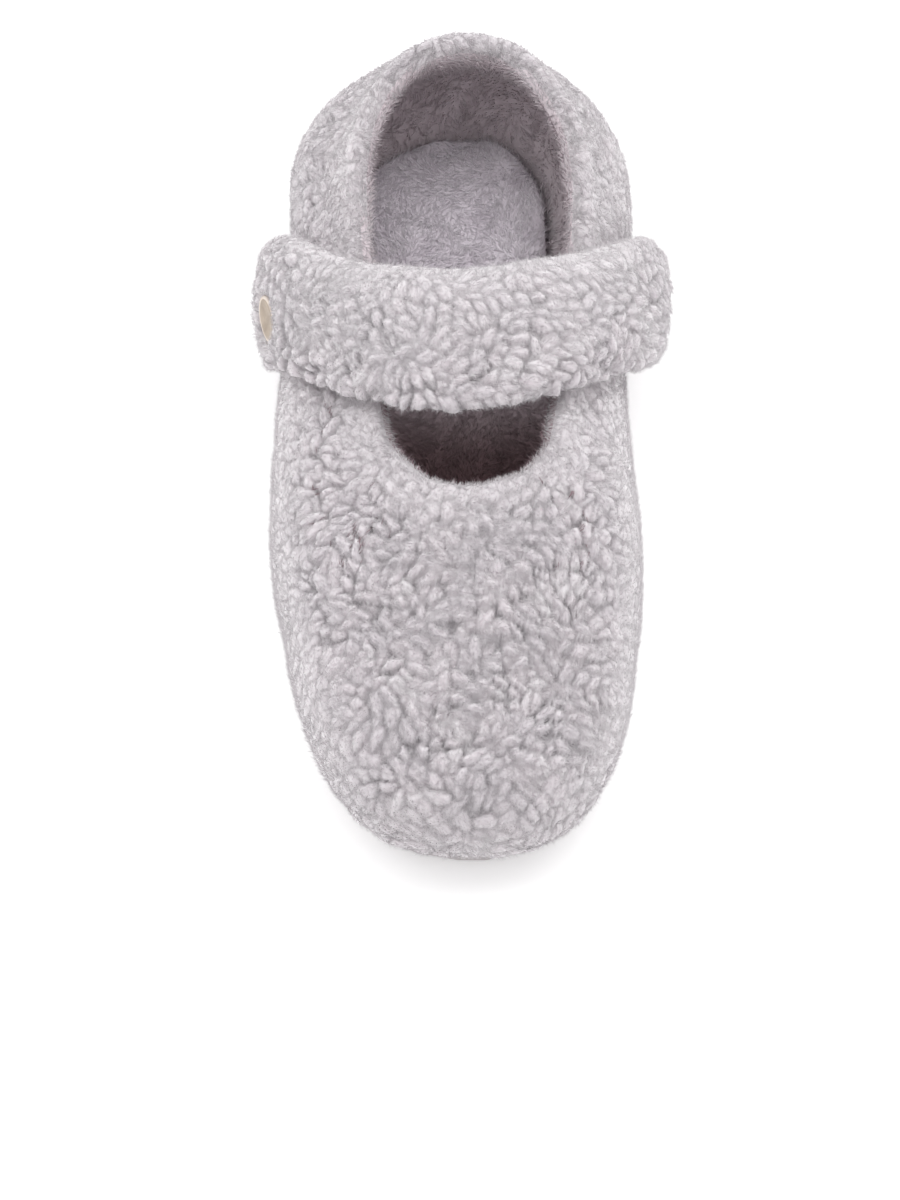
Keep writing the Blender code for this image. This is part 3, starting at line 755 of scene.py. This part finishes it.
def scatter(piece, wisp, nap, cover, shades):
    """Turns a piece's faces into a coat of wisps, laid in swirls and as the pile is brushed, as one mesh.

    cover names the attribute that says where they grow, and shades gives each of them a shade of its own.
    """
    seed = SEEDS[piece.name]
    density = nap.per_square_mm / MM**2
    tree, base = new_nodes(f"coat_{piece.name}")
    covered = node(tree, "GeometryNodeInputNamedAttribute", {"Name": cover}, data_type="FLOAT")
    many = node(tree, "ShaderNodeMath", {0: covered.outputs["Attribute"], 1: density}, operation="MULTIPLY")
    points = node(
        tree, "GeometryNodeDistributePointsOnFaces",
        {"Mesh": base, "Seed": seed, "Density": many.outputs[0]},
        distribute_method="RANDOM",
    )
    place = node(tree, "GeometryNodeInputPosition")
    swirl = node(
        tree, "ShaderNodeTexNoise", {"Vector": place.outputs[0], "Scale": 1 / SWIRL_SIZE, "Detail": 1}
    )
    middle = node(
        tree, "ShaderNodeVectorMath", {0: swirl.outputs["Color"], 1: (0.5, 0.5, 0.5)}, operation="SUBTRACT"
    )
    brushed = node(tree, "GeometryNodeInputNamedAttribute", {"Name": "brushed"}, data_type="FLOAT_VECTOR")
    lay = node(tree, "ShaderNodeVectorMath", {0: middle.outputs[0], 1: brushed.outputs["Attribute"]})
    upright = node(tree, "FunctionNodeAlignRotationToVector", {"Vector": points.outputs["Normal"]}, axis="Z")
    laid = node(
        tree, "FunctionNodeAlignRotationToVector",
        {"Rotation": upright.outputs[0], "Vector": lay.outputs[0]},
        axis="X", pivot_axis="Z",
    )
    low = (-WISP_TILT[0], nap.lean - WISP_TILT[1], -WISP_TILT[2])
    high = (WISP_TILT[0], nap.lean + WISP_TILT[1], WISP_TILT[2])
    turn = node(
        tree, "FunctionNodeRandomValue", {0: low, 1: high, "Seed": seed + 1}, data_type="FLOAT_VECTOR"
    )
    leaning = node(tree, "FunctionNodeEulerToRotation", {"Euler": turn.outputs[0]})
    turned = node(
        tree, "FunctionNodeRotateRotation", {"Rotation": laid.outputs[0], "Rotate By": leaning.outputs[0]},
        rotation_space="LOCAL",
    )
    size = node(
        tree, "FunctionNodeRandomValue", {2: WISP_SIZES[0], 3: WISP_SIZES[1], "Seed": seed + 2},
        data_type="FLOAT",
    )
    needle = node(tree, "GeometryNodeObjectInfo", {"Object": wisp})
    placed = node(
        tree, "GeometryNodeInstanceOnPoints",
        {"Points": points.outputs["Points"], "Instance": needle.outputs["Geometry"],
         "Rotation": turned.outputs[0], "Scale": size.outputs[1]},
    )
    result = placed
    if shades:
        shade = node(tree, "FunctionNodeRandomValue", {2: 0.0, 3: 1.0, "Seed": seed + 4}, data_type="FLOAT")
        result = node(
            tree, "GeometryNodeStoreNamedAttribute",
            {"Geometry": placed.outputs[0], "Name": "lock_shade", "Value": shade.outputs[1]},
            data_type="FLOAT", domain="INSTANCE",
        )
    real = node(tree, "GeometryNodeRealizeInstances", {"Geometry": result.outputs[0]})
    node(tree, "NodeGroupOutput", {0: real.outputs[0]})
    apply_modifier(piece, "NODES", node_group=tree)


def nap_coat(base, name, wanted, wisps, kind, slot, cover, shades=True):
    """A coat of one kind of nap, over the faces of a base that wanted marks."""
    coat = duplicate(base, name)
    keep_faces(coat, wanted)
    scatter(coat, wisps[kind], NAPS[kind], cover, shades)
    ride(coat, slot)


# Upper

def rim_of(wall):
    """The points of the wall's rolled edge, where its outer face turns into its lining."""
    outward = outwardness(wall.data) > 0
    rim = points_in(wall.data, outward) & points_in(wall.data, ~outward)
    return tree_of_places([place for place in points_of(wall.data)[rim] if place[2] > RIM_LOWEST])


def draw_throat(mesh, to_rim):
    """Draws the throat's front towards the toe, to leave room for the fibres that hang over its edge."""
    points = points_of(mesh)
    at_rim = 1 - smooth_step(to_rim, *DRAW_FROM_RIM)
    at_middle = 1 - smooth_step(abs(points[:, 0] - THROAT_MIDDLE), *DRAW_FROM_MIDDLE)
    drawn = at_rim * at_middle
    points[:, 1] -= THROAT_DRAW * drawn * (points[:, 1] < THROAT_BACK)
    move_points(mesh, points)


def lay_pile(mesh, to_rim, outer):
    """Sinks the upper's outer skin to the roots of its pile, and notes how the pile stands at each point."""
    points, normals = points_of(mesh), normals_of(mesh)
    full = smooth_step(to_rim, *EDGE_BAND)
    upward = smooth_step(normals[:, 2], *TOP_FACING)
    flatter = SIDE_RELIEF + (1 - SIDE_RELIEF) * upward
    side = (1 - upward) * (1 - TOE_CURL * smooth_step(-normals[:, 1], *TOE_FACING))

    depth = (EDGE_DEPTH + (PILE_DEPTH - EDGE_DEPTH) * full) * (SIDE_DEPTH + (1 - SIDE_DEPTH) * flatter)
    room = wall_room(mesh, points, normals)
    sink = np.minimum(depth + crease_depth(points) * full, WALL_SHARE * room) * outer
    move_points(mesh, points - normals * sink[:, None])

    over = tree_of(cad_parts["strap"].data)
    bare = [over.ray_cast(Vector(p), Vector(n), STRAP_REACH)[0] is None for p, n in zip(points, normals)]
    shown = np.array(bare) & (normals[:, 2] > SHOWN_FACING)
    raised = (EDGE_RELIEF + (1 - EDGE_RELIEF) * full * flatter) * (1 - SIDE_FLATTENING * side)
    collar = COLLAR_COMBED * (1 - smooth_step(to_rim, *COLLAR_BAND))
    rear = smooth_step(points[:, 1], *REAR_BAND)
    set_point_values(mesh, "raised", outer * np.where(bare, raised, COVERED_RELIEF))
    set_point_values(mesh, "cover", shown * outer)
    set_point_values(mesh, "lined", shown)
    set_point_values(mesh, "rim", shown * (1 - smooth_step(to_rim, *FRINGE_BAND)))
    # On the sides, the paler brushed-out colour is painted light
    set_point_values(mesh, "combed_and_painted_light", np.maximum(collar, SIDE_COMBED_AND_PAINTED_LIGHT * side) * (1 - REAR_CURL * rear))


def coat_upper(wall, wisps):
    """Covers the upper's pile with loose fibre, its edge with a fringe, and its lining with nap."""
    outward = outwardness(wall.data)
    places, _ = faces_of(wall.data)
    toe = places[:, 1] < TOE_BACK
    front = places[:, 1] < VAMP_BACK
    left = places[:, 0] < QUARTER_MIDDLE
    regions = {
        "toe_fuzz": toe,
        "vamp_fuzz": front & ~toe,
        "outer_quarter_fuzz": ~front & left,
        "inner_quarter_fuzz": ~front & ~left,
    }
    for name, region in regions.items():
        nap_coat(wall, name, region & (outward > 0), wisps, "fuzz", "curly_fleece", "cover", shades=False)
    nap_coat(wall, "brushed_edge", outward > FRINGE_FACING, wisps, "fringe", "curly_fleece", "rim")
    lining = (outward <= 0) & (places[:, 1] > LINING_FRONT)
    nap_coat(wall, "lining_nap", lining, wisps, "lining", "plush_footbed", "lined")


def make_upper(looks, wisps):
    """The fleece wall, with its lining: the solid's own relief goes, and finer locks rise in its place."""
    wall = copy_of("upper", "upper_wall")
    mesh = wall.data
    rim = rim_of(wall)
    to_rim = np.array([rim.find(point)[2] for point in points_of(mesh)])
    outward = outwardness(mesh)
    middles, facing = faces_of(mesh)
    outside = (outward > 0) & (facing[:, 2] > UNDERSIDE)
    inside = (facing[:, 2] < UNDERSIDE) | ((outward <= 0) & (middles[:, 2] < ROLL_LOWEST))
    outer = points_in(mesh, outside) & ~points_in(mesh, inside)

    draw_throat(mesh, to_rim)
    soften(wall, outer & (to_rim > RIM_KEPT))
    lay_pile(mesh, to_rim, outer)
    mesh.materials.append(looks["fleece"])
    mesh.materials.append(looks["lining"])
    mesh.polygons.foreach_set("material_index", (outward <= 0).astype(np.int32))
    cut_fine(wall, outside)
    lay = raise_locks(wall, 1)
    combed_and_painted_light = point_values(mesh, "combed_and_painted_light")[:, None]
    set_point_vectors(mesh, "brushed", lay * (1 - combed_and_painted_light) + to_opening(points_of(mesh)) * combed_and_painted_light)
    coat_upper(wall, wisps)
    mesh.shade_smooth()
    ride(wall, "curly_fleece", "upper")


# Strap and button

def button_seat():
    """The button's middle, and the way that it faces: along its shortest side, outwards."""
    points = points_of(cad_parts["button"].data)
    middle = (points.min(axis=0) + points.max(axis=0)) / 2
    facing = np.linalg.svd(points - middle, full_matrices=False)[2][2]
    return Vector(middle), Vector(facing if facing[0] < 0 else -facing)


def about_button(points, seat, facing):
    """How high each point lies over the button's seat, and its vector from the button's axis."""
    from_seat = points - np.array(seat)
    height = from_seat @ np.array(facing)
    return height, from_seat - np.outer(height, facing)


def fill_pocket(mesh, seat, facing):
    """Lifts the floor of the solid's round pocket and draws it in, which leaves a shallow dish."""
    points = points_of(mesh)
    height, aside = about_button(points, seat, facing)
    floor = (np.linalg.norm(aside, axis=1) < POCKET_RADIUS) & (abs(height - POCKET_FLOOR) < POCKET_GAP)
    points[floor] = np.array(seat) + POCKET_DRAW * aside[floor]
    move_points(mesh, points)


def press_dish(strap, seat):
    """Brings the pile round the button to its face: a dish under it, and a lip towards heel and sole."""
    mesh = strap.data
    points, normals = points_of(mesh), normals_of(mesh)
    facing = np.array(BUTTON_FACING)
    height, aside = about_button(points, seat, facing)
    radius = np.linalg.norm(aside, axis=1)
    dish = -DISH_DEPTH * (1 - smooth_step(radius, 0.9 * BUTTON_RADIUS, POCKET_RADIUS))
    lip = smooth_step(aside @ np.array(LIP_SIDE) / radius, *LIP_BAND)
    lip *= smooth_step(radius, BUTTON_RADIUS, 1.4 * POCKET_RADIUS)
    share = 1 - smooth_step(radius, POCKET_RADIUS, 2 * POCKET_RADIUS)
    near = np.linalg.norm(points - np.array(seat), axis=1) < 3 * POCKET_RADIUS
    near &= normals @ facing > 0
    change = (BUTTON_PROUD + dish + LIP_HEIGHT * lip - height) * share * near
    move_points(mesh, points + np.outer(change, facing))
    edit_marked(strap, "VERT", near & (radius > BUTTON_RADIUS) & (radius < 1.6 * POCKET_RADIUS))
    bpy.ops.mesh.vertices_smooth(factor=0.5, repeat=DISH_SMOOTHING)
    bpy.ops.object.mode_set(mode="OBJECT")
    set_point_values(mesh, "cover", ~near | (radius > 1.15 * BUTTON_RADIUS))


def make_strap(looks, wisps):
    """The fleece band over the instep, with plainer pile along its back edge and flat plush underneath."""
    seat, facing = button_seat()
    body = copy_of("strap", "strap_body")
    mesh = body.data
    under = points_in(mesh, outwardness(mesh) < STRAP_UNDERSIDE)
    from_seat = points_of(mesh) - np.array(seat)
    to_axis = np.linalg.norm(np.cross(from_seat, facing), axis=1)
    to_axis[np.linalg.norm(from_seat, axis=1) > POCKET_NEAR] = 1

    fill_pocket(mesh, seat, facing)
    soften(body, ~under)
    points, normals = points_of(mesh), normals_of(mesh)
    ends = smooth_step(abs(points[:, 0]), *STRAP_ENDS)
    back = smooth_step(normals[:, 1], *STRAP_BACK_FACING) * (1 - ends)
    depth = PILE_DEPTH * (1 - back) + STRAP_END_DEPTH * ends
    sink = np.minimum(depth, STRAP_SHARE * wall_room(mesh, points, normals)) * ~under
    move_points(mesh, points - normals * sink[:, None])

    round_button = smooth_step(to_axis, 1.1 * POCKET_RADIUS, 2 * POCKET_RADIUS)
    raised = STRAP_RELIEF * ~under * round_button * (1 - STRAP_BACK_FLATTENING * back)
    # The paler pile along the back edge and the ends is partly brushed pile and partly painted light
    combed_and_painted_light = STRAP_COMBED_AND_PAINTED_LIGHT[0] + STRAP_COMBED_AND_PAINTED_LIGHT[1] * np.maximum(back, STRAP_END_COMBED_AND_PAINTED_LIGHT * ends)
    set_point_values(mesh, "raised", raised)
    set_point_values(mesh, "combed_and_painted_light", combed_and_painted_light)
    outward = outwardness(mesh)
    mesh.materials.append(looks["fleece"])
    mesh.materials.append(looks["strap_back"])
    mesh.polygons.foreach_set("material_index", (outward <= STRAP_UNDERSIDE).astype(np.int32))
    cut_fine(body, outward > STRAP_UNDERSIDE)
    press_dish(body, seat)
    set_point_vectors(mesh, "brushed", raise_locks(body, STRAP_LOCK_SIZE))
    top = outwardness(mesh) > STRAP_UNDERSIDE
    nap_coat(body, "strap_fuzz", top, wisps, "fuzz", "curly_fleece", "cover", shades=False)
    mesh.shade_smooth()
    ride(body, "curly_fleece", "strap")


def make_button(looks):
    """A suede-covered button: a dished cap with a piped rim, sunk in the strap's outer end."""
    bpy.ops.object.select_all(action="DESELECT")
    bpy.ops.mesh.primitive_cylinder_add(vertices=40, radius=BUTTON_RADIUS, depth=CAP_DEPTH)
    cap = bpy.context.object
    cap.name = "button_cap"
    edit_marked(cap, "FACE", [face.normal.z > 0.9 for face in cap.data.polygons])
    for inset, lift in CAP_STEPS_MM:
        bpy.ops.mesh.inset(thickness=inset * MM)
        bpy.ops.transform.translate(value=(0, 0, lift * MM))
    bpy.ops.object.mode_set(mode="OBJECT")
    cap.data.materials.append(looks["suede"])
    bpy.ops.object.shade_smooth_by_angle(angle=radians(50))

    bpy.ops.object.select_all(action="DESELECT")
    bpy.ops.mesh.primitive_torus_add(
        major_radius=BUTTON_RADIUS - PIPING_INSET, minor_radius=PIPING_RADIUS,
        major_segments=48, minor_segments=8, location=(0, 0, PIPING_LEVEL),
    )
    piping = bpy.context.object
    piping.data.materials.append(looks["piping"])
    bpy.ops.object.transform_apply(location=True)
    bpy.ops.object.shade_smooth()
    join(cap, [piping])
    seat, _ = button_seat()
    turn = BUTTON_FACING.to_track_quat("Z", "Y").to_matrix().to_4x4()
    cap.data.transform(Matrix.Translation(seat + BUTTON_FACING * (BUTTON_PROUD - CAP_HEIGHT)) @ turn)
    ride(cap, "tan_suede", "button")


# Footbed and sole

def spread_to_lining(pad):
    """Spreads the footbed's soft edge level, nearly to the lining, and half of the way on the inner side."""
    wall = tree_of(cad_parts["upper"].data)
    edge = tree_of(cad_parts["insole"].data)
    points = points_of(pad.data)
    level = from_line(points, FOOTBED_BALL, FOOTBED_HEEL)
    level[:, 2] = 0
    away = np.linalg.norm(level, axis=1)
    level = unit(level)
    share = 1 - INNER_SHORTFALL * smooth_step(level[:, 0], *INNER_FACING)
    for count, (point, way) in enumerate(zip(points, level)):
        inside = Vector(point - way * 0.1 * MM - np.array((0, 0, 1 * MM)))
        lined = wall.ray_cast(Vector(point), Vector(way), FOOTBED_REACH)[3]
        rim = edge.ray_cast(inside, Vector(way), FOOTBED_REACH)[3] or 0
        if lined and lined > rim + FOOTBED_GAP:
            reach = (lined - rim - FOOTBED_GAP) * share[count]
            points[count] += way * reach * (away[count] / (away[count] + rim)) ** 2
    move_points(pad.data, points)


def make_insole(looks, wisps):
    """The padded footbed, with a brushed nap where it can be seen."""
    pad = copy_of("insole", "insole_pad")
    only_active(pad)
    bpy.ops.object.mode_set(mode="EDIT")
    bpy.ops.mesh.select_all(action="SELECT")
    bpy.ops.mesh.tris_convert_to_quads()
    bpy.ops.object.mode_set(mode="OBJECT")
    apply_modifier(pad, "SUBSURF", levels=1, render_levels=1)
    spread_to_lining(pad)
    pad.data.materials.append(looks["footbed"])
    bpy.ops.object.shade_smooth()
    set_point_values(pad.data, "cover", np.ones(len(pad.data.vertices)))
    places, normals = faces_of(pad.data)
    top = (normals[:, 2] > FOOTBED_TOP) & (places[:, 1] > FOOTBED_FRONT)
    nap_coat(pad, "insole_nap", top, wisps, "footbed", "plush_footbed", "cover")
    ride(pad, "plush_footbed", "insole")


def make_outsole(looks):
    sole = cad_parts["outsole"]
    sole.material_slots[0].material = looks["rubber"]


# Studio

def make_studio():
    """A white paper floor that glows slightly, an even sky and four softboxes."""
    bpy.ops.object.select_all(action="DESELECT")
    bpy.ops.mesh.primitive_plane_add(size=FLOOR_SIZE)
    floor = bpy.context.object
    floor.name = "studio_floor"
    paper, _, shader = new_material("white_paper", roughness=1.0, specular=0.0)
    shader.inputs["Base Color"].default_value = linear("#f4f4f4")
    shader.inputs["Emission Color"].default_value = linear("#ffffff")
    shader.inputs["Emission Strength"].default_value = FLOOR_GLOW
    floor.data.materials.append(paper)

    world = bpy.data.worlds.new("studio")
    bpy.context.scene.world = world
    world.use_nodes = True
    sky = world.node_tree.nodes["Background"]
    sky.inputs["Color"].default_value = linear("#ffffff")
    sky.inputs["Strength"].default_value = SKY_STRENGTH

    for name, power, place in SOFTBOXES:
        lamp = bpy.data.lights.new(name, "AREA")
        lamp.shape = "DISK"
        lamp.size = SOFTBOX_WIDTH
        lamp.energy = power
        softbox = link(bpy.data.objects.new(name, lamp))
        softbox.location = place
        softbox.rotation_euler = (SOFTBOX_AIM - softbox.location).to_track_quat("-Z", "Y").to_euler()


def make_camera():
    lens = bpy.data.cameras.new("camera")
    camera = link(bpy.data.objects.new("camera", lens))
    half_height = PHOTO_HEIGHT / 2 / PIXELS_PER_MM * MM
    lens.sensor_width = SENSOR
    lens.lens = SENSOR / 2 * CAMERA_DISTANCE / half_height
    back = Vector((0, -cos(CAMERA_ELEVATION), sin(CAMERA_ELEVATION)))
    camera.location = AIM + back * CAMERA_DISTANCE
    camera.rotation_euler = (-back).to_track_quat("-Z", "Y").to_euler()
    bpy.context.scene.camera = camera
    bpy.context.scene.view_settings.view_transform = "Standard"


def main():
    # Without a seed, the noise that lays the locks in swirls differs from run to run.
    noise.seed_set(NOISE_SEED)
    make_camera()
    make_studio()
    looks = {
        "fleece": curly_fleece("curly_polyester_fleece", 1.0),
        "fibre": curly_fleece("loose_polyester_fibre", 0.0),
        # The third colours of the lining and the footbed are painted shade under the forefoot
        "lining": plush("brushed_lining_plush", "#d0c3c8", "#e2d7dc", "#9c858b"),
        "footbed": plush("brushed_footbed_plush", "#d8d0d8", "#f3eff3", "#95787b"),
        "strap_back": plush("strap_backing_plush", "#c0b6ba", "#d4cbcf"),
        "suede": suede("tan_brushed_suede", "#a08f7e", "#b8a897"),
        "piping": suede("cream_suede_piping", "#e2d2c5", "#eee2d7"),
        "rubber": moulded_rubber(),
    }
    wisps = {name: model_wisp(f"{name}_wisp", nap, looks[nap.look]) for name, nap in NAPS.items()}
    make_upper(looks, wisps)
    make_strap(looks, wisps)
    make_button(looks)
    make_insole(looks, wisps)
    make_outsole(looks)


main()
